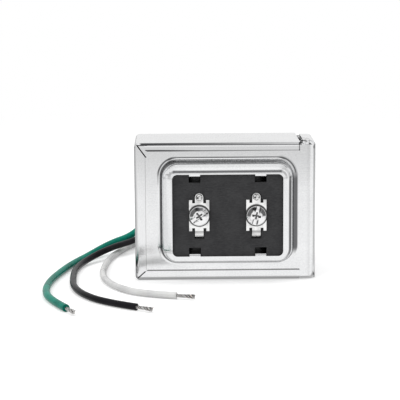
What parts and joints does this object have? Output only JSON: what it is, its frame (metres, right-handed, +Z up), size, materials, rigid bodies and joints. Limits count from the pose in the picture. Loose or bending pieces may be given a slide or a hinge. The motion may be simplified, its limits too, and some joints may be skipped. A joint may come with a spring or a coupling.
{
  "type": "doorbell transformer",
  "caption": "Step-down transformer in a crimped zinc-plated sheet case, with screw terminals on a recessed fibre board and primary leads from a threaded hub at the rear.",
  "frame": {"origin": "on the standing surface, under the middle of the box round the case, terminals and hub, without the leads", "axes": "+X to the right as seen from the terminals' face, +Y to the rear along the hub's axis, +Z up"},
  "size_m": [0.0964, 0.1265, 0.0496],
  "materials": {
    "case_zinc": "bright zinc plate on rolled sheet steel",
    "hub_zinc": "zinc plate on turned steel",
    "core_iron": "stacked electrical steel, dark oxide",
    "bobbin_nylon": "natural moulded nylon",
    "winding_copper": "enamelled copper wire",
    "coil_tape": "black polyester film tape",
    "cutout_shell": "moulded shell",
    "fibre_board": "vulcanised fibre, matt",
    "terminal_nickel": "nickel plate",
    "screw_zinc": "bright zinc plate",
    "solder": "tin solder, satin",
    "throat_nylon": "black moulded nylon",
    "splice_nylon": "natural moulded nylon",
    "green_insulation": "glossy vinyl insulation",
    "black_insulation": "glossy vinyl insulation",
    "white_insulation": "glossy vinyl insulation",
    "lead_strand": "tinned copper strands"
  },
  "bodies": {
    "root": {"crimp_frame": "case_zinc", "wrap_cover": "case_zinc", "e_laminations": "core_iron", "i_laminations": "core_iron", "bobbin": "bobbin_nylon", "primary_winding": "winding_copper", "secondary_winding": "winding_copper", "primary_tape": "coil_tape", "secondary_tape": "coil_tape", "thermal_cutout": "cutout_shell", "terminal_board": "fibre_board", "left_terminal_plate": "terminal_nickel", "right_terminal_plate": "terminal_nickel", "left_terminal_screw": "screw_zinc", "right_terminal_screw": "screw_zinc", "left_secondary_wire": "winding_copper", "right_secondary_wire": "winding_copper", "solder_joints": "solder", "hub_nipple": "hub_zinc", "throat_bushing": "throat_nylon", "earth_solder": "solder", "black_splice": "splice_nylon", "white_splice": "splice_nylon", "green_lead": "green_insulation", "black_lead": "black_insulation", "white_lead": "white_insulation", "green_strands": "lead_strand", "black_strands": "lead_strand", "white_strands": "lead_strand"}
  },
  "joints": []
}
